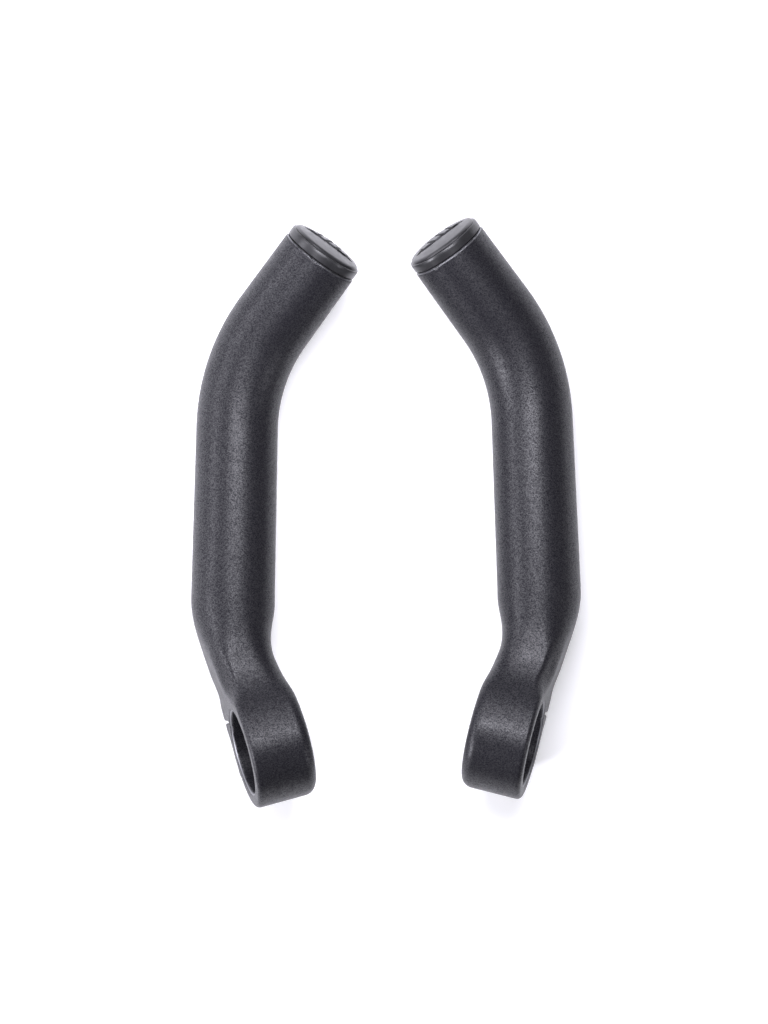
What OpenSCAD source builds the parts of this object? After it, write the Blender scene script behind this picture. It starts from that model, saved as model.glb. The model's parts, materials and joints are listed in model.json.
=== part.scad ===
// Pair of bicycle handlebar bar ends, left and right, lying flat on a table.
// Each one is a hollow forged alloy bar with a split clamp at its foot, a
// plastic cap with a badge in its mouth, and a washer and socket screw that
// close the clamp. Origin: on the table under the middle of the pair, +Y
// along the bars towards the caps, +Z up.

/* [Clamp] */
// Bore for the handlebar
bar_d = 22.2; // [22:0.1:23]
// Wall of the ring around the bore
ring_wall = 4; // [3.5:0.1:4.5]
// Width of the ring along the handlebar
clamp_w = 16.5; // [15:0.5:18]
// Rounding of the ring's inner rim
inner_round = 3; // [1:0.1:3.5]
// Rounding of the ring's outer rim
outer_round = 1.2; // [0.4:0.1:1.5]
// Narrowest gap between the two jaws
slit_gap = 0.8; // [0.5:0.1:1.2]
// Distance of the fixed jaw's flat from the bore's axis
slit_pos = 8.3; // [8:0.1:9]
// Radius of the free jaw's rounded nose
nose_r = 2.5; // [2:0.1:2.8]

/* [Clamp screw] */
// Thread diameter
screw_d = 5; // [5:0.5:6]
// Thread pitch
pitch = 0.8; // [0.8:0.1:1]
// Length under the head
screw_len = 25; // [22:1:26]
// Head diameter
head_d = 8.5; // [8:0.1:9]
// Head height
head_h = 5; // [4:0.5:5]
// Hexagon socket across flats
socket_af = 4; // [3:0.5:4]
// Distance of the screw from the bore's axis
screw_offset = 15.8; // [15.6:0.1:16.5]
// Distance of the washer's seat below the bore's axis
seat_pos = 4; // [3:0.5:5]
// Radius of the boss around the screw
boss_r = 5.75; // [5.5:0.05:6]
// Washer diameter
washer_d = 8.6; // [8:0.1:9]
// Washer thickness
washer_t = 1; // [0.8:0.1:1.2]

/* [Bar] */
// Distance from the bore's axis to the foot of the round bar
neck_len = 41; // [40:0.5:44]
// Drop of the round bar's axis below the bore's axis
bar_drop = 7.8; // [6:0.1:9]
// Inward step of the round bar's axis at its foot
bar_step = 1.1; // [0:0.1:2]
// Angle between the round bar and the clamp's face
bar_lean = 15.8; // [14:0.1:18]
// Length of the straight grip
grip_len = 44.5; // [42:0.5:52]
// Diameter at the foot of the grip
foot_d = 22.3; // [21.5:0.1:23]
// Diameter through the bend
bend_d = 21.8; // [21:0.1:22.5]
// Diameter at the mouth
mouth_d = 21.3; // [20.5:0.1:22]
// Radius of the bend's centre line
bend_r = 45; // [40:1:60]
// Angle of the bend
bend_angle = 38.5; // [30:1:45]
// Roll of the bend out of the clamp's plane
bend_roll = 36; // [20:1:40]
// Length of the straight tip
tip_len = 22; // [18:0.5:26]
// Radius of the hollow inside
hollow_r = 8.5; // [8:0.1:8.6]

/* [Cap] */
// Collar diameter
collar_d = 21; // [20:0.1:21.3]
// Collar height up to the shoulder
collar_h = 3.2; // [2.5:0.1:4]
// Shoulder rounding
shoulder_r = 1.3; // [0.8:0.1:1.8]
// Rise of the domed top above the shoulder
dome_rise = 1.3; // [0.5:0.1:2]
// Length of the plug inside the bar
plug_len = 14; // [10:1:18]
// Radial play of the plug in the bar
plug_play = 0.05; // [0.03:0.01:0.08]
// Badge height above the dome
badge_h = 0.35; // [0.2:0.05:0.5]
// Turn of the badge about the cap's axis
badge_turn = 22.4; // [0:0.1:45]

/* [Stance] */
// Turn of each clamp towards the middle of the pair
toe = 13.8; // [10:0.1:18]
// Tilt of each bore's axis to the table
tilt = 10.7; // [5:0.1:15]
// Distance of each bore's middle from the mirror plane
bore_x = 30.7; // [25:0.1:60]
// How far the right bar end lies ahead of the left one
stagger = 1.6; // [0:0.1:5]

/* [Hidden] */
$fn = 72;
bore_r = bar_d / 2;
ring_r = bore_r + ring_wall;
jaw_top = slit_pos - slit_gap;          // highest point of the free jaw
nose_y = jaw_top - nose_r;              // axis of the rounded nose
nose_z = -(bore_r + nose_r * 0.88);     // leaves the nose clear of the bore
head_y = -seat_pos - washer_t;          // underside of the screw's head
tip_y = head_y + screw_len;             // end of the screw
thread_r = screw_d / 2;
thread_h = 0.61 * pitch;                // depth of the thread
head_edge = 0.4;                        // broken edge of the screw's head
boss_end = tip_y + 2;
bore_y = -61.55;                        // centres the pair's box on the origin
bore_z = screw_offset * cos(tilt) + boss_r;
foot_r = foot_d / 2;
dome_r = pow(collar_d / 2 - shoulder_r, 2) / (2 * dome_rise) + dome_rise / 2;
cap_h = collar_h + dome_rise;
mouth_chamfer = 0.4;
joint_lap = 0.1;                        // overlap of two lengths of the bar
joint_step = 0.02;                      // keeps overlapping skins apart
seat_play = 0.03;                       // above and below the washer

// Smooth step from 0 to 1, level at both ends.
function ease(s) = s * s * (3 - 2 * s);
function clamp01(s) = min(1, max(0, s));
function mix(a, b, s) = a + (b - a) * s;

// ---------------------------------------------------------------- places
module clamp_frame() {
    translate([-bore_x, bore_y, bore_z]) rotate([0, tilt, toe]) children();
}
// +Z runs up the grip, -Y is the side away from the table.
module grip_frame() {
    clamp_frame() translate([bar_step, neck_len, -bar_drop])
        rotate([-90, 0, 0]) rotate([0, bar_lean, 0]) children();
}
module bend_frame() {
    grip_frame() translate([0, 0, grip_len]) rotate([0, 0, -bend_roll])
        children();
}
module tip_frame() {
    bend_frame() translate([bend_r, 0, 0]) rotate([0, bend_angle, 0])
        translate([-bend_r, 0, 0]) children();
}
module cap_frame() {
    tip_frame() translate([0, 0, tip_len]) children();
}
// +Z runs along the screw, from its head into the bar.
module screw_frame() {
    clamp_frame() translate([0, 0, -screw_offset]) rotate([-90, 0, 0])
        children();
}

// ------------------------------------------------------------------ ring
function arc(cx, cy, r, from, to, n) = [
    for (i = [0:n]) let (a = from + (to - from) * i / n)
        [cx + r * cos(a), cy + r * sin(a)]
];

// Turned ring with its two outer rims rounded, about the bore's axis.
module ring() {
    half = clamp_w / 2;
    rotate([0, 90, 0]) rotate_extrude($fn = 96) polygon(concat(
        [[bore_r - 1, -half]],
        arc(ring_r - outer_round, -half + outer_round, outer_round, -90, 0, 5),
        arc(ring_r - inner_round, half - inner_round, inner_round, 0, 90, 8),
        [[bore_r - 1, half]]
    ));
}

// Cylinder across the clamp, parallel to the bore.
module cross_bar(y, z, r, width) {
    translate([-width / 2, y, z]) rotate([0, 90, 0])
        cylinder(r = r, h = width, $fn = 32);
}

// Free jaw: rounded nose that thickens the ring beside the slit.
module nose() {
    width = clamp_w - 0.6;
    hull() {
        cross_bar(nose_y, nose_z, nose_r, width);
        cross_bar(-4, nose_z + 0.3, nose_r - 0.6, width);
    }
}

// Round boss for the screw, from the head's mouth to past the thread.
module boss(from, to) {
    screw_frame() translate([0, 0, from]) cylinder(r = boss_r, h = to - from);
}

// ------------------------------------------------------------------ neck
NECK_SIDES = 36;
NECK_RINGS = 16;
neck_root = slit_pos - 0.3;
waist_y = 24;
waist_step = -1.3;
root_half_w = clamp_w / 2 - 0.1;
root_half_h = 11.6;
root_drop = 6;

// Each ring of the neck is [centre x, centre z, half width, half height,
// turn about Z, squareness], at the share s of the way up the neck.
function neck_station(s) =
    let (
        y = mix(neck_root, neck_len, s),
        lower = clamp01((y - 11) / (waist_y - 11)),
        upper = clamp01((y - waist_y) / (neck_len - waist_y)),
        widen = clamp01((y - waist_y + 2) / (neck_len - waist_y)),
        slope = tan(bar_lean) * (neck_len - waist_y)
    ) [
        waist_step * ease(lower) * (1 - ease(upper)) + bar_step * ease(upper)
            - slope * upper * upper * (1 - upper),
        -mix(root_drop, bar_drop, ease(clamp01(s * 1.4))),
        mix(root_half_w, foot_r - 0.05, ease(widen)),
        mix(root_half_h, foot_r - 0.05, ease(s)),
        bar_lean * ease(upper),
        mix(5.5, 2, pow(s, 0.8))
    ];

function round_box(a, b, n, t) = [
    a * sign(cos(t)) * pow(abs(cos(t)), 2 / n),
    b * sign(sin(t)) * pow(abs(sin(t)), 2 / n)
];

function neck_ring(s) =
    let (k = neck_station(s), y = mix(neck_root, neck_len, s)) [
        for (i = [0:NECK_SIDES - 1])
            let (p = round_box(k[2], k[3], k[5], 360 * (i + 0.5) / NECK_SIDES))
                [k[0] + p.x * cos(k[4]), y - p.x * sin(k[4]), k[1] + p.y]
    ];

// The last ring sits a little way up inside the grip.
function neck_end() = [
    for (p = neck_ring(1))
        [p.x + 2 * sin(bar_lean), p.y + 2 * cos(bar_lean), p.z]
];

module neck() {
    rings = concat(
        [for (k = [0:NECK_RINGS]) neck_ring(k / NECK_RINGS)],
        [neck_end()]
    );
    last = len(rings) - 1;
    polyhedron(
        points = [for (ring = rings) for (p = ring) p],
        faces = concat(
            [[for (i = [NECK_SIDES - 1:-1:0]) i]],
            [for (k = [0:last - 1]) for (i = [0:NECK_SIDES - 1])
                let (j = (i + 1) % NECK_SIDES) [
                    k * NECK_SIDES + i,
                    k * NECK_SIDES + j,
                    (k + 1) * NECK_SIDES + j,
                    (k + 1) * NECK_SIDES + i
                ]],
            [[for (i = [0:NECK_SIDES - 1]) last * NECK_SIDES + i]]
        )
    );
}

// ------------------------------------------------------------- round bar
module bend(r) {
    translate([bend_r, 0, 0]) rotate([90, 0, 180])
        rotate_extrude(angle = bend_angle) translate([bend_r, 0]) circle(r = r);
}

// The straight lengths reach a little way into the bend, just under its skin.
module round_bar() {
    bend_end_r = bend_d / 2 - joint_step;
    mouth_r = mouth_d / 2;
    grip_frame()
        cylinder(r1 = foot_r, r2 = bend_end_r, h = grip_len + joint_lap);
    bend_frame() bend(bend_d / 2);
    tip_frame() rotate_extrude() polygon([
        [0, -joint_lap],
        [bend_end_r, -joint_lap],
        [mouth_r, tip_len - mouth_chamfer],
        [mouth_r - mouth_chamfer, tip_len],
        [0, tip_len]
    ]);
}

module hollow() {
    start = 6;
    straight_r = hollow_r - joint_step;
    grip_frame() translate([0, 0, start])
        cylinder(r = straight_r, h = grip_len + joint_lap - start);
    bend_frame() bend(hollow_r);
    tip_frame() translate([0, 0, -joint_lap])
        cylinder(r = straight_r, h = joint_lap + tip_len + 1);
}

module bar() {
    reach = clamp_w + 2;
    difference() {
        union() {
            clamp_frame() difference() {
                ring();
                translate([-reach / 2, nose_y, -ring_r - 1])
                    cube([reach, slit_pos - nose_y, ring_r + 1]);
            }
            clamp_frame() nose();
            boss(-seat_pos - washer_t - head_h, jaw_top - 0.6);
            clamp_frame() neck();
            boss(slit_pos, boss_end);
            round_bar();
        }
        clamp_frame() translate([-reach / 2, 0, 0]) rotate([0, 90, 0])
            cylinder(r = bore_r, h = reach, $fn = 96);
        hollow();
        // counterbore, clearance hole and tapped hole
        screw_frame() translate([0, 0, -20 - seat_pos])
            cylinder(r = washer_d / 2 + 0.15, h = 20);
        screw_frame() translate([0, 0, -20])
            cylinder(r = thread_r + 0.25, h = 20 + slit_pos, $fn = 48);
        screw_frame() cylinder(r = thread_r + 0.05, h = tip_y + 0.5, $fn = 48);
    }
}

// ------------------------------------------------------------------- cap
// Lens-shaped badge field across the cap's top.
module badge_outline(grow) {
    half_l = 7.6 + grow;
    half_w = 2.7 + grow;
    r = (half_l * half_l + half_w * half_w) / (2 * half_w);
    rotate(badge_turn) intersection() {
        translate([0, r - half_w]) circle(r = r, $fn = 96);
        translate([0, half_w - r]) circle(r = r, $fn = 96);
    }
}

module dome(extra) {
    translate([0, 0, cap_h - dome_r]) sphere(r = dome_r + extra, $fn = 144);
}

module cap() {
    shoulder_z = collar_h - shoulder_r;
    inner = hollow_r - joint_step - plug_play;
    color("#2b2b2d") cap_frame() difference() {
        union() {
            intersection() {
                rotate_extrude() polygon(concat(
                    [[0, 0], [collar_d / 2 - 0.2, 0], [collar_d / 2, 0.2]],
                    arc(collar_d / 2 - shoulder_r, shoulder_z + 0.25,
                        shoulder_r, 0, 75, 6),
                    [[0, cap_h + 1]]
                ));
                dome(0);
            }
            translate([0, 0, -plug_len])
                cylinder(r = inner - 0.6, h = plug_len + 0.1);
            for (z = [-plug_len + 1.5:3.5:-2])
                translate([0, 0, z]) cylinder(r = inner, h = 1.2);
        }
        translate([0, 0, -plug_len - 1])
            cylinder(r = inner - 2.2, h = plug_len);
        translate([0, 0, cap_h - 0.9]) linear_extrude(2) badge_outline(0.1);
    }
}

module badge() {
    color("#111113") cap_frame() intersection() {
        union() {
            translate([0, 0, cap_h - 0.9]) linear_extrude(0.5)
                badge_outline(0.05);
            translate([0, 0, cap_h - 0.9]) linear_extrude(2) intersection() {
                badge_outline(-0.2);
                rotate(badge_turn) for (x = [-4.2:2.8:4.2])
                    translate([x, 0])
                        polygon([[-1.2, -3], [0.4, -3], [1.2, 3], [-0.4, 3]]);
            }
        }
        dome(badge_h);
    }
}

// ----------------------------------------------------------------- screw
module washer() {
    color("#b9babd") screw_frame() translate([0, 0, head_y]) difference() {
        translate([0, 0, seat_play])
            cylinder(r = washer_d / 2, h = washer_t - 2 * seat_play);
        translate([0, 0, -1])
            cylinder(r = thread_r + 0.15, h = washer_t + 2, $fn = 48);
    }
}

module screw() {
    color("#3c3d40") screw_frame() translate([0, 0, head_y]) difference() {
        union() {
            translate([0, 0, -head_h + head_edge])
                cylinder(r = head_d / 2, h = head_h - head_edge);
            translate([0, 0, -head_h])
                cylinder(r1 = head_d / 2 - head_edge, r2 = head_d / 2, h = head_edge);
            cylinder(r = thread_r, h = screw_len - thread_h, $fn = 48);
            translate([0, 0, screw_len - thread_h])
                cylinder(r1 = thread_r, r2 = thread_r - thread_h, h = thread_h, $fn = 48);
        }
        translate([0, 0, -head_h - 1])
            cylinder(d = socket_af / cos(30), h = head_h / 2 + 1, $fn = 6);
    }
}

// ----------------------------------------------------------------- pair
// Mirror image of a left piece, in the right bar end's place.
module right() {
    translate([0, stagger, 0]) mirror([1, 0, 0]) children();
}

module left_bar() { color("#3a3a3e") bar(); }
module left_cap() { cap(); }
module left_badge() { badge(); }
module left_washer() { washer(); }
module left_screw() { screw(); }
module right_bar() { right() color("#3a3a3e") bar(); }
module right_cap() { right() cap(); }
module right_badge() { right() badge(); }
module right_washer() { right() washer(); }
module right_screw() { right() screw(); }

left_bar();
left_cap();
left_badge();
left_washer();
left_screw();
right_bar();
right_cap();
right_badge();
right_washer();
right_screw();
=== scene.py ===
import itertools
import json
import math

import bpy
import numpy as np
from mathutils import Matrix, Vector


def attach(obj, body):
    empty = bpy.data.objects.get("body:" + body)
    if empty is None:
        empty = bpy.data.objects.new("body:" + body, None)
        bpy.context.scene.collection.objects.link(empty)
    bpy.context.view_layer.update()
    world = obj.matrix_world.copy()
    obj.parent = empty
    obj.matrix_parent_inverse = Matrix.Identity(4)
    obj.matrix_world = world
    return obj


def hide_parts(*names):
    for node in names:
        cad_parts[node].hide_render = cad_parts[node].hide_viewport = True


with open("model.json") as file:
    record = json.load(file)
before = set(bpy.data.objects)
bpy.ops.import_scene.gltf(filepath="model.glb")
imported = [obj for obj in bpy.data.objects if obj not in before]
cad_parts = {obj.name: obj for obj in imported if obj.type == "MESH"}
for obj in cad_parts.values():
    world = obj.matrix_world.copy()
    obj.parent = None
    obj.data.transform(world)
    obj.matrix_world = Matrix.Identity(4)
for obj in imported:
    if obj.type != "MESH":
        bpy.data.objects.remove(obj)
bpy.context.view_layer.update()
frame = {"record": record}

MM = 0.001
SIDES = ("left", "right")

# ------------------------------------------------------------ the design, mm
# clamp
BORE_R = 11.1                       # handlebar bore
RING_R = 15.1                       # outside of the ring
CLAMP_W = 16.5                      # ring's width along the handlebar
INNER_ROUND, OUTER_ROUND = 3.0, 1.2  # rounding of the ring's two rims
LIP_CUT = 0.6                       # chamfer round the bore
SLIT_POS, SLIT_GAP = 8.3, 0.8       # slit: its upper side's height, its gap
NOSE_R = 2.5                        # rounded end of the free jaw
SCREW_OFFSET, SEAT_POS = 15.8, 4.0  # screw's axis below the bore, washer's seat
BOSS_R, BOSS_MOUTH, BOSS_END = 5.75, -10.0, 22.0
# screw and washer
SCREW_D, SCREW_LEN, PITCH = 5.0, 25.0, 0.8
HEAD_D, HEAD_H, SOCKET_AF = 8.5, 5.0, 4.0
WASHER_D, WASHER_T = 8.6, 1.0
HEAD_Y = -SEAT_POS - WASHER_T       # underside of the screw's head
# neck
NECK_LEN, BAR_DROP, BAR_STEP = 41.0, 7.8, 1.1
SWING_Y = 11.0                      # where the neck begins to swing out
WAIST_Y, WAIST_STEP = 24.0, -1.3    # where it is furthest out, and how far
BELOW = 40.0                        # further down than any point of the clamp
ROOT_HALF_H, ROOT_DROP = 11.6, 6.0  # half height and drop where it leaves the ring
BEVEL_W, BEVEL_LEAN = 2.9, math.radians(58)
OUTER_POWER, INNER_POWER = 14, 6    # how square its two faces start; 2 is round
# where on the neck a change starts, and over what length it happens
OUTER_ROUNDS, INNER_ROUNDS = (17, 20), (8, 28)
BEVEL_GROWS, RING_ENDS = (9, 9), (10, 8)
# grip, bend and tip
BAR_LEAN, BEND_ANGLE, BEND_ROLL = (math.radians(a) for a in (15.8, 38.5, 36))
GRIP_LEN, BEND_R, TIP_LEN = 44.5, 45.0, 22.0
FOOT_R, BEND_BAR_R, MOUTH_R = 11.15, 10.9, 10.65
HOLLOW_R, HOLLOW_START = 8.5, 6.0
MOUTH_CUT = 0.45                    # chamfer round the mouth
# cap and badge
COLLAR_R, CAP_H, DOME_R = 10.5, 4.5, 42.0
SHOULDER, DOME_LEAN = 1.4, math.radians(12.3)
PLUG_LEN, PLUG_PLAY = 14.0, 0.07
BADGE_L, BADGE_W, BADGE_DEEP = 7.6, 2.7, 0.9  # half length, half width, depth
BADGE_TURN = math.radians(22.4)
BADGE_LIFT, BADGE_FIELD = 0.32, -0.3  # its bars and its field, from the dome
BADGE_SUNK, RECESS = 0.65, 0.5        # its rim and its recess, below the dome
BADGE_BARS = (-4.6, -1.55, 1.55, 4.6)
BADGE_SLANT, BADGE_BAR_HALF, BADGE_MARGIN = 0.42, 1.22, 0.28
# meshes
CELL, QUICK_CELL = 0.512, 0.9       # the bars' grid
CAP_SEGMENTS, SCREW_SEGMENTS, WASHER_SEGMENTS = 180, 144, 96
SHARP = math.radians(32)            # edges that turn by more than this stay sharp


# ----------------------------------------------------- places, from the frame
def unit(v):
    v = np.asarray(v, float)
    return v / np.linalg.norm(v)


def clamp_axes(side):
    """Origin (mm) and axes of a clamp: x along the bore, y up the arm, z up."""
    mount = next(m for m in frame["record"]["mounts"] if m["name"] == side + "_clamp")
    x = -unit(mount["axis"])
    y = unit([-x[1], x[0], 0]) * (1 if side == "left" else -1)
    z = unit(np.cross(x, y)) * (1 if side == "left" else -1)
    return np.array(mount["pos_m"]) / MM, np.array([x, y, z])


PLACES = {side: clamp_axes(side) for side in SIDES}


class Axes:
    """A set of axes inside the clamp's own frame."""

    def __init__(self, origin, x, y, z):
        self.o = np.asarray(origin, float)
        self.m = np.array([x, y, z], float)

    def local(self, p):
        return (p - self.o) @ self.m.T

    def outside(self, p):
        return self.o + np.asarray(p, float) @ self.m


def bar_axes():
    """Axes of the grip, of the bend's start, of the tip and of the cap."""
    sin_l, cos_l = math.sin(BAR_LEAN), math.cos(BAR_LEAN)
    gx, gy, gz = (np.array(v) for v in ((cos_l, -sin_l, 0), (0, 0, -1), (sin_l, cos_l, 0)))
    grip = Axes((BAR_STEP, NECK_LEN, -BAR_DROP), gx, gy, gz)
    sin_r, cos_r = math.sin(BEND_ROLL), math.cos(BEND_ROLL)
    bx, by = cos_r * gx - sin_r * gy, sin_r * gx + cos_r * gy
    bend = Axes(grip.outside((0, 0, GRIP_LEN)), bx, by, gz)
    sin_b, cos_b = math.sin(BEND_ANGLE), math.cos(BEND_ANGLE)
    tx, tz = cos_b * bx - sin_b * gz, sin_b * bx + cos_b * gz
    tip = Axes(bend.outside((BEND_R * (1 - cos_b), 0, BEND_R * sin_b)), tx, by, tz)
    cap = Axes(tip.outside((0, 0, TIP_LEN)), tx, by, tz)
    return grip, bend, tip, cap


GRIP, BEND, TIP, CAP = bar_axes()
SCREW = Axes((0, 0, -SCREW_OFFSET), (1, 0, 0), (0, 0, -1), (0, 1, 0))


def to_row(points, side, axes=None):
    """Points in mm, in the clamp's frame or in axes inside it, as metres in the row."""
    points = np.asarray(points, float)
    if axes is not None:
        points = axes.outside(points)
    origin, m = PLACES[side]
    return (origin + points @ m) * MM


# ------------------------------------------------------------- shape functions
def smooth_min(a, b, k):
    """The two shapes joined, with a fillet about k wide."""
    h = np.clip(0.5 + 0.5 * (b - a) / k, 0, 1)
    return b + (a - b) * h - k * h * (1 - h)


def smooth_max(a, b, k):
    """The common part of a and b, with its edge rounded about k wide."""
    return -smooth_min(-a, -b, k)


def chamfer_max(a, b, c):
    """The common part of a and b, with its edge cut off c wide."""
    return np.maximum(np.maximum(a, b), (a + b + c) * math.sqrt(0.5))


def ease(s):
    s = np.clip(s, 0, 1)
    return s * s * (3 - 2 * s)


def grown(y, start, length):
    """How much, 0 to 1, of a change has happened at y."""
    return ease((y - start) / length)


def mix(a, b, s):
    return a + (b - a) * s


def round_bar(p):
    """Distance to the bar's centre line, way along it from the bend's start, and the
    bar's radius there."""
    q = BEND.local(p)
    x, y, z = q[..., 0], q[..., 1], q[..., 2]
    turn = np.arctan2(z, BEND_R - x)
    t = TIP.local(p)
    before, after = z < 0, turn > BEND_ANGLE
    ring = np.hypot(BEND_R - x, z) - BEND_R
    across = np.where(before, x, np.where(after, t[..., 0], ring))
    arc_len = BEND_R * BEND_ANGLE
    way = np.where(before, z, np.where(after, arc_len + t[..., 2], BEND_R * turn))
    radius = np.where(
        way < 0,
        mix(BEND_BAR_R, FOOT_R, -way / GRIP_LEN),
        mix(BEND_BAR_R, MOUTH_R, np.clip((way - arc_len) / TIP_LEN, 0, 1)),
    )
    return np.hypot(across, y), way, radius


BAR_START, BAR_END = -GRIP_LEN, BEND_R * BEND_ANGLE + TIP_LEN


def side_profile(y, z, drop, half_h):
    """The clamp and arm seen along the bore: ring, free jaw's nose and arm."""
    ring = np.hypot(y, z) - RING_R
    nose_y = SLIT_POS - SLIT_GAP - NOSE_R
    nose_z = -(BORE_R + NOSE_R * 0.88)
    # the ring is open from the middle of the nose to the slit
    opening = np.abs(y - (nose_y + SLIT_POS) / 2) - (SLIT_POS - nose_y) / 2
    ring = smooth_max(ring, -np.maximum(opening, z + 3), 0.4)
    # the nose tapers back along the ring
    along = np.clip((nose_y - y) / (nose_y + 6), 0, 1)
    nose = np.hypot(y - mix(nose_y, -6, along), z - mix(nose_z, nose_z + 0.5, along))
    nose = nose - mix(NOSE_R, NOSE_R - 0.9, along)
    ring = smooth_min(ring, nose, 0.9)
    arm = smooth_max(np.abs(z + drop) - half_h, SLIT_POS - y, 5.0)
    return smooth_min(ring, arm, 9.0)


def forging(p):
    """The outside of the bar: clamp and neck run into the round grip."""
    x, y, z = p[..., 0], p[..., 1], p[..., 2]
    centre_y = np.clip(y, -BELOW, NECK_LEN)
    rise = NECK_LEN - WAIST_Y
    # a few rounds find the place on the neck's leaning middle line that the point is across
    for _ in range(4):
        upper = np.clip((centre_y - WAIST_Y) / rise, 0, 1)
        lean = BAR_LEAN * ease(upper)
        centre_x = (
            WAIST_STEP * grown(centre_y, SWING_Y, WAIST_Y - SWING_Y) * (1 - ease(upper))
            + BAR_STEP * ease(upper)
            - math.tan(BAR_LEAN) * rise * upper * upper * (1 - upper)
        )
        centre_y = np.clip(y + (x - centre_x) * np.tan(lean), -BELOW, NECK_LEN)
    up = np.clip((centre_y - SLIT_POS) / (NECK_LEN - SLIT_POS), 0, 1)
    across = (x - centre_x) / np.cos(lean)
    half_w = mix(CLAMP_W / 2, FOOT_R, grown(centre_y, WAIST_Y - 2, rise))
    half_h = mix(ROOT_HALF_H, FOOT_R, ease(up))
    drop = mix(ROOT_DROP, BAR_DROP, ease(up * 1.4))
    profile = side_profile(centre_y, z, drop, half_h)
    # the ring has rounded rims
    r = np.where(across < 0, OUTER_ROUND, INNER_ROUND)
    d1, d2 = profile + r, np.abs(across) - half_w + r
    corner = np.hypot(np.maximum(d1, 0), np.maximum(d2, 0))
    ring = np.minimum(np.maximum(d1, d2), 0) + corner - r
    # the neck turns from square to round, and its outer face stays flat for longest
    outer = mix(1 / OUTER_POWER, 1 / 2, grown(centre_y, *OUTER_ROUNDS))
    inner = mix(1 / INNER_POWER, 1 / 2, grown(centre_y, *INNER_ROUNDS))
    n = 1 / np.where(across < 0, outer, inner)
    square = (np.abs(across) / half_w) ** n + np.maximum(1 + profile / half_h, 0) ** n
    neck = (square ** (1 / n) - 1) * np.minimum(half_w, half_h)
    # a bevel runs along its outer face
    bevel = BEVEL_W * grown(centre_y, *BEVEL_GROWS)
    facet = profile * math.cos(BEVEL_LEAN) - (across + half_w - bevel) * math.sin(BEVEL_LEAN)
    neck = smooth_max(neck, facet, 0.8)
    body = mix(ring, neck, grown(centre_y, *RING_ENDS))
    dist, way, radius = round_bar(p)
    return np.where(way > BAR_START, dist - radius, body)


def machined(p):
    """How far a point of the bar is from the middle of a machined edge, with a sign."""
    _, way, _ = round_bar(p)
    lip = np.hypot(p[:, 1], p[:, 2]) - BORE_R - LIP_CUT / 2
    mouth = way - BAR_END + MOUTH_CUT / 2
    return np.where(way > 0, mouth, np.clip(lip, -1, 1))


def bar_shape(p):
    """Signed distance, near enough, to the bar's surface: below 0 is alloy.

    The last number of each smooth step is how softly, in mm, the two run together.
    """
    x, y, z = p[..., 0], p[..., 1], p[..., 2]
    from_screw = np.hypot(x, z + SCREW_OFFSET)
    # the boss for the screw, and the slit between the jaws
    boss = smooth_max(from_screw - BOSS_R, BOSS_MOUTH - y, 1.0)
    boss = smooth_max(boss, y - BOSS_END, 5.0)
    solid = smooth_min(forging(p), boss, 2.5)
    slit = np.maximum(np.abs(y - SLIT_POS + SLIT_GAP / 2) - SLIT_GAP / 2, z + BORE_R - 1)
    solid = smooth_max(solid, -slit, 0.5)
    solid = chamfer_max(solid, BORE_R - np.hypot(y, z), LIP_CUT)
    # the holes: counterbore, clearance in the free jaw and thread in the other one
    counterbore = np.maximum(from_screw - WASHER_D / 2 - 0.15, y + SEAT_POS)
    solid = smooth_max(solid, -counterbore, 0.6)
    clearance = np.maximum(from_screw - SCREW_D / 2 - 0.25, y - SLIT_POS)
    tapped = np.maximum(from_screw - SCREW_D / 2 - 0.05, y - HEAD_Y - SCREW_LEN - 0.5)
    solid = smooth_max(solid, -np.minimum(clearance, tapped), 0.2)
    dist, way, _ = round_bar(p)
    hollow = smooth_max(dist - HOLLOW_R, BAR_START + HOLLOW_START - way, 3.0)
    solid = smooth_max(solid, -hollow, 0.3)
    return chamfer_max(solid, way - BAR_END, MOUTH_CUT)


# ------------------------------------------------------------ surface to mesh
def gradient(shape, points, step=0.02):
    g = np.empty_like(points)
    for axis in range(3):
        move = np.zeros(3)
        move[axis] = step
        g[:, axis] = (shape(points + move) - shape(points - move)) / (2 * step)
    return g


def onto_surface(shape, points, limit, rounds):
    """Moves points to where the shape is 0, by no more than limit in a round."""
    for _ in range(rounds):
        g = gradient(shape, points)
        step = (shape(points) / np.maximum((g * g).sum(1), 0.05))[:, None] * g
        length = np.linalg.norm(step, axis=1, keepdims=True)
        points = points - step * np.minimum(1, limit / np.maximum(length, 1e-9))
    return points


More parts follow.
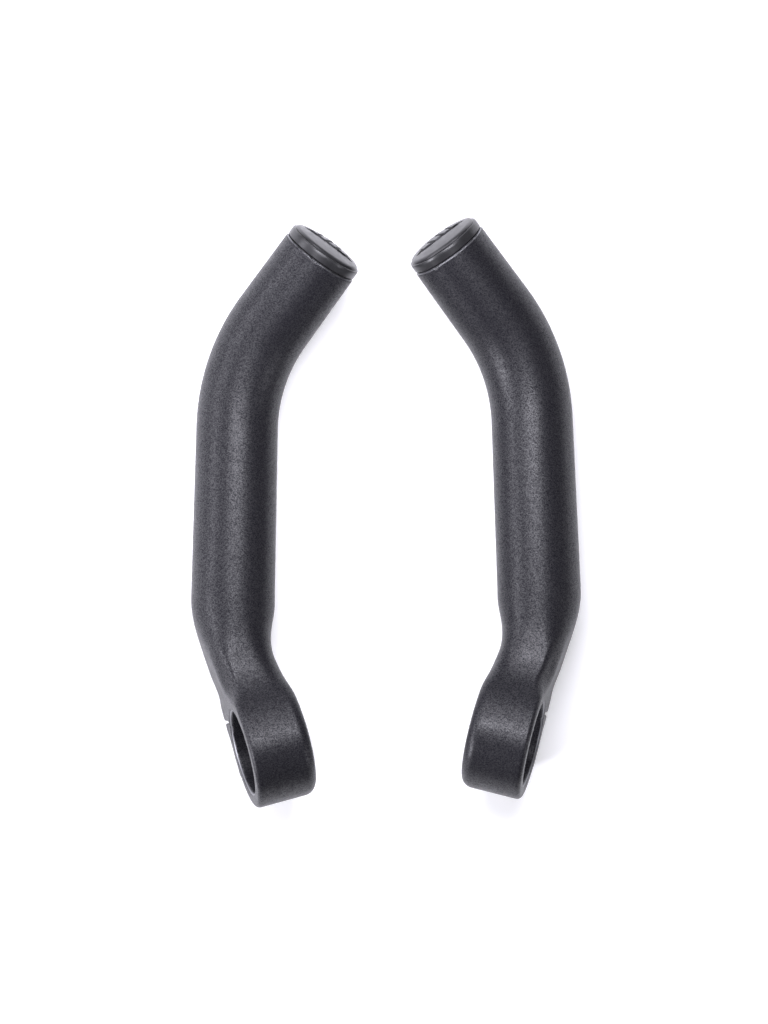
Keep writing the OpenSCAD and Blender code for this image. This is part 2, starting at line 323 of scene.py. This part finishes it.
def surface_nets(shape, low, high, cell):
    """A quad mesh of shape(p) = 0 inside a box, one vertex to each crossed cell."""
    axes = [np.arange(a, b + cell, cell) for a, b in zip(low, high)]
    grid = np.empty([len(a) for a in axes], np.float32)
    for i, x in enumerate(axes[0]):
        sheet = np.stack(np.meshgrid([x], axes[1], axes[2], indexing="ij"), -1)
        grid[i] = shape(sheet)[0]
    inside = grid < 0
    cells = [n - 1 for n in grid.shape]
    total = np.zeros(cells, np.int8)
    for c in itertools.product((0, 1), repeat=3):
        total += inside[tuple(slice(o, o + n) for o, n in zip(c, cells))]
    crossed = (total > 0) & (total < 8)
    number = np.full(cells, -1)
    number[crossed] = np.arange(crossed.sum())
    at = np.argwhere(crossed)
    points = np.zeros(at.shape)
    hits = np.zeros(len(at))
    for axis in range(3):
        others = [a for a in range(3) if a != axis]
        for o in itertools.product((0, 1), repeat=2):
            start = at.copy()
            start[:, others] += o
            end = start.copy()
            end[:, axis] += 1
            a, b = grid[tuple(start.T)], grid[tuple(end.T)]
            cut = (a < 0) != (b < 0)
            share = np.where(cut, a / np.where(cut, a - b, 1), 0)
            spot = start.astype(float)
            spot[:, axis] += share
            points[cut] += spot[cut]
            hits += cut
    points = np.array(low) + points / hits[:, None] * cell
    quads = []
    for axis in range(3):
        first, second = [a for a in range(3) if a != axis]
        edge = np.diff(inside.astype(np.int8), axis=axis)
        keep = [slice(None)] * 3
        keep[first] = keep[second] = slice(1, -1)
        offset = np.zeros(3, int)
        offset[first] = offset[second] = 1
        for sign in (1, -1):
            e = np.argwhere(edge[tuple(keep)] == sign) + offset
            loop = []
            for da, db in ((1, 1), (0, 1), (0, 0), (1, 0)):
                c = e.copy()
                c[:, first] -= da
                c[:, second] -= db
                loop.append(number[tuple(c.T)])
            flip = (sign > 0) != (axis == 1)
            quads.append(np.stack(loop[::-1] if flip else loop, 1))
    return points, np.concatenate(quads)


def relax(points, quads):
    """Moves each vertex halfway to the middle of its neighbours."""
    total = np.zeros_like(points)
    count = np.zeros(len(points))
    for a, b in ((0, 1), (1, 2), (2, 3), (3, 0)):
        for i, j in ((a, b), (b, a)):
            np.add.at(total, quads[:, i], points[quads[:, j]])
            np.add.at(count, quads[:, i], 1)
    return points + 0.5 * (total / count[:, None] - points)


def bar_mesh():
    """The left bar's points, quads, normals and marks, in the clamp's frame."""
    path = [CAP.o, TIP.o, BEND.o, GRIP.o]
    margin = FOOT_R + 1.5
    low = np.min(path, 0) - margin
    high = np.max(path, 0) + margin
    low = np.minimum(low, (-CLAMP_W / 2 - 2, -RING_R - 2, -SCREW_OFFSET - BOSS_R - 1.5))
    high = np.maximum(high, (CLAMP_W / 2 + 2, 0, RING_R + 2))
    cell = CELL
    points, quads = surface_nets(bar_shape, low, high, cell)
    points = onto_surface(bar_shape, points, cell / 2, 3)
    for _ in range(3):
        points = onto_surface(bar_shape, relax(points, quads), cell / 2, 2)
    g = gradient(bar_shape, points)
    normals = g / np.maximum(np.linalg.norm(g, axis=1, keepdims=True), 1e-9)
    return points, quads, normals, machined(points)


# -------------------------------------------------------------- mesh to object
def add_object(name, mesh, material, body, replaced):
    obj = bpy.data.objects.new(name, mesh)
    bpy.context.collection.objects.link(obj)
    mesh.materials.append(material)
    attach(obj, body)
    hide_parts(*replaced)


def mark(mesh, values):
    """Keeps a value at each vertex; near 0 is where the material's second finish goes."""
    mesh.attributes.new("mark", "FLOAT", "POINT").data.foreach_set("value", values)


def smooth_mesh(name, points, faces):
    mesh = bpy.data.meshes.new(name)
    mesh.from_pydata(points.tolist(), [], faces)
    mesh.polygons.foreach_set("use_smooth", [True] * len(mesh.polygons))
    mesh.update()
    return mesh


def add_bar(side, shape, material):
    """The side's bar from bar_mesh(), with the normals of the shape itself."""
    points, quads, normals, marks = shape
    faces = quads if side == "left" else quads[:, ::-1]
    mesh = smooth_mesh(side + "_bar", to_row(points, side), faces.tolist())
    mesh.normals_split_custom_set_from_vertices((normals @ PLACES[side][1]).tolist())
    mark(mesh, marks)
    body = side + "_bar"
    add_object(side + "_forged_bar", mesh, material, body, [body])


def add_piece(name, points, faces, side, axes, material, body, slot, node, marks=None):
    """A piece from points in axes inside the clamp's frame, wound for the left side.

    It rides on the side's body and replaces the side's node of those names.
    """
    if side == "right":
        faces = [f[::-1] for f in faces]
    mesh = smooth_mesh(name, to_row(points, side, axes), faces)
    mesh.set_sharp_from_angle(angle=SHARP)
    if marks is not None:
        mark(mesh, marks)
    add_object(side + "_" + name, mesh, material, side + body, [side + node])


def turned(rings, segments, close_ends=True):
    """Points and faces of rings [(radius, z), ...] about z; either can be an array.

    The rings run so that the solid is to their left: up outside, down inside. The ends
    are closed with flat faces, or the last ring is joined to the first.
    """
    angle = np.arange(segments) * 2 * math.pi / segments
    points = []
    for radius, z in rings:
        r, z = (np.broadcast_to(np.asarray(v, float), (segments,)) for v in (radius, z))
        points.append(np.stack([r * np.cos(angle), r * np.sin(angle), z], 1))
    faces = []
    for k in range(len(rings) - 1):
        for i in range(segments):
            j = (i + 1) % segments
            a, b = k * segments, (k + 1) * segments
            faces.append([a + i, a + j, b + j, b + i])
    last = (len(rings) - 1) * segments
    if close_ends:
        faces.append(list(range(segments))[::-1])
        faces.append([last + i for i in range(segments)])
    else:
        for i in range(segments):
            j = (i + 1) % segments
            faces.append([last + i, last + j, j, i])
    return np.concatenate(points), faces


def arc(cx, cz, r, start, end, steps):
    """Rings of a turned profile along an arc, between angles in degrees."""
    return [
        (cx + r * math.cos(a), cz + r * math.sin(a))
        for a in (math.radians(start + (end - start) * i / steps) for i in range(steps + 1))
    ]


# --------------------------------------------------------------------- the cap
def dome_z(r):
    """Height of the cap's dome at r from its axis."""
    return CAP_H - DOME_R + np.sqrt(DOME_R * DOME_R - r * r)


def cap_profile():
    """The turned cap from the middle of its hollow plug, round the outside, to the top.

    z is 0 at the bar's mouth, and the plug lies below it.
    """
    inner = HOLLOW_R - PLUG_PLAY
    wall, core = inner - 2.2, inner - 0.6  # inside of the plug, and outside between its ribs
    low = -PLUG_LEN
    rings = [(0.02, -1), (wall - 0.3, -1), (wall, -1.3), (wall, low + 0.3), (wall + 0.3, low)]
    rings += [(core - 0.4, low), (core, low + 0.4)]
    for z in (-12.5, -9.0, -5.5, -2.0):
        rings += [(core, z), (inner - 0.15, z + 0.15), (inner, z + 0.35), (inner, z + 0.85)]
        rings += [(inner - 0.15, z + 1.1), (core, z + 1.2)]
    rings += [(core, -0.15), (core + 0.15, 0), (COLLAR_R - 0.7, 0), (COLLAR_R - 0.6, 0.28)]
    rings += [(COLLAR_R - 0.12, 0.32), (COLLAR_R, 0.42)]
    # the collar leans in towards a groove
    rings += arc(COLLAR_R - 3, 1.7, 3, 0, 15, 5)
    edge_r, edge_z = rings[-1]
    rings += [(edge_r - 0.05, edge_z + 0.09), (edge_r - 0.15, edge_z + 0.14)]
    rings += [(edge_r - 0.52, edge_z + 0.13), (edge_r - 0.6, edge_z + 0.2)]
    # the shoulder turns into the dome where both lean the same
    join = DOME_R * math.sin(DOME_LEAN)
    centre_r = join - SHOULDER * math.sin(DOME_LEAN)
    centre_z = dome_z(join) - SHOULDER * math.cos(DOME_LEAN)
    low = math.degrees(math.asin((edge_z + 0.3 - centre_z) / SHOULDER))
    rings += arc(centre_r, centre_z, SHOULDER, low, 90 - math.degrees(DOME_LEAN), 10)
    # the badge's recess is sunk into the dome
    angle = np.arange(CAP_SEGMENTS) * 2 * math.pi / CAP_SEGMENTS - BADGE_TURN
    for r in np.linspace(join, 0.05, 50)[1:]:
        x, y = r * np.cos(angle), r * np.sin(angle)
        inside = badge_half_width(np.clip(x, -BADGE_L, BADGE_L), 0.35) - np.abs(y)
        inside = np.minimum(inside, BADGE_L + 0.2 - np.abs(x))
        rings.append((r, dome_z(r) - RECESS * ease(inside / 0.3)))
    return rings


def badge_half_width(x, grow):
    """Half the width of the badge's lens at x, grown on all sides."""
    half_l, half_w = BADGE_L + grow, BADGE_W + grow
    r = (half_l * half_l + half_w * half_w) / (2 * half_w)
    return np.sqrt(np.maximum(r * r - x * x, 0)) - (r - half_w)


def badge_mesh():
    """Slanted raised bars with bevels, on a lens-shaped field just below the dome.

    Points, faces, and marks that are 0 on top of the bars and 1 elsewhere.
    """
    columns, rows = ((181, 41))
    u = np.linspace(-1, 1, columns)
    x = np.sin(u * math.pi / 2) * (BADGE_L - 0.02)
    v = np.linspace(-1, 1, rows)
    half = np.maximum(badge_half_width(x, 0.0), 0.01)
    px, pv = np.meshgrid(x, v, indexing="ij")
    py = pv * half[:, None]
    edge = np.full(px.shape, np.inf)
    for centre in BADGE_BARS:
        off = np.abs(px - centre - py * BADGE_SLANT) - BADGE_BAR_HALF
        edge = np.minimum(edge, off)
    from_rim = half[:, None] - np.abs(py)
    inside = np.minimum(-edge, from_rim - BADGE_MARGIN)
    raised = ease(inside / 0.3 + 0.15)
    field = ease((from_rim - 0.02) / 0.15)
    lift = (BADGE_LIFT - BADGE_FIELD) * raised + (BADGE_FIELD + BADGE_SUNK) * field - BADGE_SUNK
    top = dome_z(np.hypot(px, py)) + lift
    cos_t, sin_t = math.cos(BADGE_TURN), math.sin(BADGE_TURN)
    turned_x, turned_y = cos_t * px - sin_t * py, sin_t * px + cos_t * py
    upper = np.stack([turned_x, turned_y, top], -1).reshape(-1, 3)
    lower = upper.copy()
    lower[:, 2] = CAP_H - BADGE_DEEP
    faces = []
    n = columns * rows
    for i in range(columns - 1):
        for j in range(rows - 1):
            a, b = i * rows + j, (i + 1) * rows + j
            faces.append([a, b, b + 1, a + 1])
            faces.append([n + a + 1, n + b + 1, n + b, n + a])
    rim = [i * rows for i in range(columns)]
    rim += [(columns - 1) * rows + j for j in range(1, rows)]
    rim += [i * rows + rows - 1 for i in range(columns - 2, -1, -1)]
    rim += list(range(rows - 2, 0, -1))
    for k, a in enumerate(rim):
        b = rim[(k + 1) % len(rim)]
        faces.append([n + a, n + b, b, a])
    return np.concatenate([upper, lower]), faces, np.append(1 - raised, np.ones(n))


# ----------------------------------------------------------- screw and washer
def screw_mesh(hand):
    """Socket head screw about z, head below 0; hand is 1 where the place isn't mirrored."""
    angle = np.arange(SCREW_SEGMENTS) * 2 * math.pi / SCREW_SEGMENTS
    sector = np.mod(angle, math.pi / 3) - math.pi / 6
    hexagon = SOCKET_AF / 2 / np.cos(sector)
    knurl = HEAD_D / 2 - 0.11 * (1 - np.abs(np.sin(angle * 24)))
    r0 = HEAD_D / 2
    # from the bottom of the socket, round the head and down the shank to its end
    rings = [(0.02, -HEAD_H / 2 + 0.5), (hexagon * 0.6, -HEAD_H / 2 + 0.15)]
    rings += [(hexagon, -HEAD_H / 2)]
    rings += [(hexagon, -HEAD_H + 0.25), (hexagon + 0.2, -HEAD_H), (r0 - 0.7, -HEAD_H)]
    rings += [(r0 - 0.45, -HEAD_H + 0.08), (r0 - 0.12, -HEAD_H + 0.4), (knurl, -HEAD_H + 0.6)]
    rings += [(knurl, -HEAD_H + z) for z in (1.5, 2.5, 3.5, 4.4)]
    rings += [(r0 - 0.12, -0.35), (r0 - 0.2, -0.05), (r0 - 0.3, 0)]
    major, minor = SCREW_D / 2 - 0.01, SCREW_D / 2 - 0.42
    rings += [(major + 0.15, 0), (major - 0.12, 0.25), (major - 0.12, 0.7)]
    steps = 12
    count = int((SCREW_LEN - 1.6) / PITCH * steps)
    for k in range(count + 1):
        z = 0.9 + (SCREW_LEN - 1.6) * k / count
        phase = np.mod(z / PITCH - hand * angle / (2 * math.pi), 1)
        thread = np.clip(np.abs(2 * phase - 1) * 1.25 - 0.125, 0, 1)
        r = mix(minor, major, thread)
        # the thread grows out of the plain neck, and the end is pointed
        if z < 2:
            r = mix(major - 0.12, r, min(1, (z - 0.7) / 1.2))
        limit = mix(major, minor - 0.1, max(0, (z - SCREW_LEN + 0.9) / 0.9))
        rings.append((np.minimum(r, limit), z))
    rings += [(minor - 0.15, SCREW_LEN - 0.25), (minor - 0.4, SCREW_LEN)]
    return turned(rings, SCREW_SEGMENTS)


def washer_mesh():
    """Flat washer above z = 0 with broken edges, a hair clear of its two neighbours."""
    inner, outer, c, gap = SCREW_D / 2 + 0.15, WASHER_D / 2, 0.12, 0.03
    low, high = gap, WASHER_T - gap
    rings = [(inner, high - c), (inner, low + c), (inner + c, low), (outer - c, low)]
    rings += [(outer, low + c), (outer, high - c), (outer - c, high), (inner + c, high)]
    return turned(rings, WASHER_SEGMENTS, close_ends=False)


# ------------------------------------------------------------------- materials
def material(name, color, roughness, metallic=0.0, specular=0.5):
    m = bpy.data.materials.new(name)
    m.use_nodes = True
    m.node_tree.nodes.clear()
    nodes, links = m.node_tree.nodes, m.node_tree.links
    out = nodes.new("ShaderNodeOutputMaterial")
    shader = nodes.new("ShaderNodeBsdfPrincipled")
    links.new(shader.outputs["BSDF"], out.inputs["Surface"])
    shader.inputs["Base Color"].default_value = (*color, 1)
    shader.inputs["Roughness"].default_value = roughness
    shader.inputs["Metallic"].default_value = metallic
    shader.inputs["Specular IOR Level"].default_value = specular
    return m, nodes, links, shader


def shader_of(m):
    return next(n for n in m.node_tree.nodes if n.type == "BSDF_PRINCIPLED")


def noise(nodes, links, scale, detail, roughness):
    where = nodes.new("ShaderNodeTexCoord")
    tex = nodes.new("ShaderNodeTexNoise")
    tex.inputs["Scale"].default_value = scale
    tex.inputs["Detail"].default_value = detail
    tex.inputs["Roughness"].default_value = roughness
    links.new(where.outputs["Object"], tex.inputs["Vector"])
    return tex.outputs["Fac"]


def ramp(nodes, links, fac, *stops):
    """Colours from two stops, each a place and a colour."""
    node = nodes.new("ShaderNodeValToRGB")
    for element, (at, color) in zip(node.color_ramp.elements, stops):
        element.position = at
        element.color = (*color, 1)
    links.new(fac, node.inputs["Fac"])
    return node.outputs["Color"]


def map_range(nodes, links, fac, *limits):
    """Maps a value; limits are the range it comes from, then the one it goes to."""
    node = nodes.new("ShaderNodeMapRange")
    for name, value in zip(("From Min", "From Max", "To Min", "To Max"), limits):
        node.inputs[name].default_value = value
    links.new(fac, node.inputs["Value"])
    return node.outputs["Result"]


def bump(nodes, links, shader, fac, strength, distance):
    node = nodes.new("ShaderNodeBump")
    node.inputs["Strength"].default_value = strength
    node.inputs["Distance"].default_value = distance
    links.new(fac, node.inputs["Height"])
    links.new(node.outputs["Normal"], shader.inputs["Normal"])


def speckled(name, dark, light, roughness, grain, strength, depth, metallic=0.0,
             specular=0.5):
    """A procedural finish: grain in the colour and the relief, broad patches in the
    roughness."""
    m, nodes, links, shader = material(name, dark, roughness[0], metallic, specular)
    fine = noise(nodes, links, 1 / grain, 2.0, 0.6)
    broad = noise(nodes, links, 0.1 / grain, 3.0, 0.5)
    color = ramp(nodes, links, fine, (0.35, dark), (0.7, light))
    links.new(color, shader.inputs["Base Color"])
    level = map_range(nodes, links, broad, 0.3, 0.7, *roughness)
    links.new(level, shader.inputs["Roughness"])
    bump(nodes, links, shader, fine, strength, depth)
    return m


def glitter(m, grain, low, high):
    """Random small facets that shine more or less."""
    nodes, links = m.node_tree.nodes, m.node_tree.links
    where = nodes.new("ShaderNodeTexCoord")
    tex = nodes.new("ShaderNodeTexVoronoi")
    tex.inputs["Scale"].default_value = 1 / grain
    links.new(where.outputs["Object"], tex.inputs["Vector"])
    split = nodes.new("ShaderNodeSeparateColor")
    links.new(tex.outputs["Color"], split.inputs["Color"])
    level = map_range(nodes, links, split.outputs["Red"], 0, 1, low, high)
    links.new(level, shader_of(m).inputs["Specular IOR Level"])


def marked(m, color, full, none):
    """Bare metal where the mesh's mark is nearer to 0 than full, fading out at none."""
    nodes, links = m.node_tree.nodes, m.node_tree.links
    shader = shader_of(m)
    where = nodes.new("ShaderNodeAttribute")
    where.attribute_name = "mark"
    size = nodes.new("ShaderNodeMath")
    size.operation = "ABSOLUTE"
    links.new(where.outputs["Fac"], size.inputs[0])
    share = map_range(nodes, links, size.outputs["Value"], full, none, 1, 0)
    blend = nodes.new("ShaderNodeMix")
    blend.data_type = "RGBA"
    tint, metal = (
        next(i for i in blend.inputs if i.identifier == n) for n in ("A_Color", "B_Color")
    )
    links.new(share, blend.inputs["Factor"])
    links.new(shader.inputs["Base Color"].links[0].from_socket, tint)
    metal.default_value = (*color, 1)
    result = next(o for o in blend.outputs if o.identifier == "Result_Color")
    links.new(result, shader.inputs["Base Color"])
    links.new(share, shader.inputs["Metallic"])


FORGED = speckled(
    "blasted_anodised", (0.0085, 0.0083, 0.0105), (0.0105, 0.0102, 0.0135),
    roughness=(0.40, 0.46), grain=0.26 * MM, strength=0.4, depth=0.04 * MM, specular=0.3)
glitter(FORGED, grain=0.20 * MM, low=0.05, high=0.62)
marked(FORGED, (0.19, 0.19, 0.20), full=0.08, none=0.22)
CAP_PLASTIC = speckled(
    "moulded_plastic", (0.011, 0.011, 0.012), (0.018, 0.018, 0.0195),
    roughness=(0.30, 0.40), grain=0.18 * MM, strength=0.2, depth=0.02 * MM, specular=0.45)
GLOSS = speckled(
    "gloss_badge", (0.006, 0.006, 0.007), (0.009, 0.009, 0.010),
    roughness=(0.3, 0.4), grain=0.4 * MM, strength=0.05, depth=0.01 * MM, specular=0.2)
marked(GLOSS, (0.05, 0.05, 0.053), full=0.1, none=0.7)
PLATED = speckled(
    "zinc_plated", (0.5, 0.5, 0.53), (0.66, 0.66, 0.68),
    roughness=(0.25, 0.4), grain=0.15 * MM, strength=0.1, depth=0.01 * MM, metallic=1.0)
BLACK_STEEL = speckled(
    "black_oxide", (0.03, 0.03, 0.034), (0.055, 0.055, 0.06),
    roughness=(0.3, 0.42), grain=0.12 * MM, strength=0.15, depth=0.01 * MM, metallic=0.8)


# ----------------------------------------------------------------- build it all
def build():
    bar = bar_mesh()
    cap, washer = turned(cap_profile(), CAP_SEGMENTS), washer_mesh()
    *badge, badge_marks = badge_mesh()
    seat = Axes(SCREW.outside((0, 0, HEAD_Y)), *SCREW.m)
    for side in SIDES:
        add_bar(side, bar, FORGED)
        add_piece("end_cap", *cap, side, CAP, CAP_PLASTIC, "_cap", "cap_plastic", "_cap")
        add_piece("cap_badge", *badge, side, CAP, GLOSS, "_cap", "badge_gloss", "_badge",
                  badge_marks)
        add_piece("seat_washer", *washer, side, seat, PLATED, "_washer", "plated_steel",
                  "_washer")
        screw = screw_mesh(1 if side == "left" else -1)
        add_piece("clamp_screw", *screw, side, seat, BLACK_STEEL, "_screw", "black_steel",
                  "_screw")


build()


# --------------------------------------------------- floor, lights and camera
FLOOR_HALF, FLOOR_GLOW, WORLD_GLOW = 12.0, 0.3, 0.12
COOL = (0.92, 0.91, 1.0)
# name, position and target in m, size in m, watts
LIGHTS = (
    ("overhead", (-0.02, 0.10, 0.36), (-0.02, 0.10, 0), (0.24, 0.11), 1.8),
    ("far_top", (-0.02, 0.40, 0.36), (-0.02, 0.40, 0), (0.24, 0.12), 1.4),
    ("left_strip", (-0.88, 0.0, 0.42), (0, 0, 0), (1.1, 0.28), 7.4),
    ("left_key", (-0.78, -0.42, 0.46), (0, 0.02, 0), (0.2, 0.2), 6.0),
    ("left_back", (-0.5, 0.5, 0.46), (0, 0.02, 0), (0.25, 0.25), 1.8),
    ("right_fill", (0.78, -0.42, 0.46), (0, 0.02, 0), (0.3, 0.3), 1.9),
)
SENSOR = 36.0                           # mm
CAMERA_DISTANCE = 0.8                   # m
VIEW_HEIGHT = 0.2738                    # m, seen at the target
CAMERA_TURN, CAMERA_ROLL = math.radians(1.5), math.radians(-0.4)
CAMERA_TARGET = Vector((-0.0004, -0.0001, 0.012))


def add_floor():
    mesh = bpy.data.meshes.new("floor")
    corners = [(sx * FLOOR_HALF, sy * FLOOR_HALF, 0) for sx, sy in
               ((-1, -1), (1, -1), (1, 1), (-1, 1))]
    mesh.from_pydata(corners, [], [(0, 1, 2, 3)])
    floor = bpy.data.objects.new("floor", mesh)
    bpy.context.collection.objects.link(floor)
    m, _, _, shader = material("floor_paper", (0.85, 0.85, 0.86), 0.9)
    shader.inputs["Emission Color"].default_value = (1, 1, 1, 1)
    shader.inputs["Emission Strength"].default_value = FLOOR_GLOW
    mesh.materials.append(m)


def add_light(name, position, target, size, power):
    data = bpy.data.lights.new(name, "AREA")
    data.shape = "RECTANGLE"
    data.size, data.size_y = size
    data.energy = power
    data.color = COOL
    lamp = bpy.data.objects.new(name, data)
    lamp.location = position
    aim = Vector(target) - Vector(position)
    lamp.rotation_euler = aim.to_track_quat("-Z", "Y").to_euler()
    bpy.context.collection.objects.link(lamp)


def add_camera():
    back = Vector((-math.sin(CAMERA_TURN), 0, math.cos(CAMERA_TURN)))
    data = bpy.data.cameras.new("camera")
    data.sensor_fit = "VERTICAL"
    data.sensor_height = SENSOR
    data.lens = SENSOR * CAMERA_DISTANCE / VIEW_HEIGHT
    data.clip_start = 0.01
    camera = bpy.data.objects.new("camera", data)
    camera.location = CAMERA_TARGET + back * CAMERA_DISTANCE
    camera.rotation_euler = (0, -CAMERA_TURN, CAMERA_ROLL)
    bpy.context.collection.objects.link(camera)
    bpy.context.scene.camera = camera


def add_world():
    world = bpy.data.worlds.new("studio")
    world.use_nodes = True
    background = world.node_tree.nodes["Background"]
    background.inputs["Color"].default_value = (1, 1, 1, 1)
    background.inputs["Strength"].default_value = WORLD_GLOW
    bpy.context.scene.world = world
    bpy.context.scene.view_settings.view_transform = "Standard"


add_floor()
for light in LIGHTS:
    add_light(*light)
add_world()
add_camera()
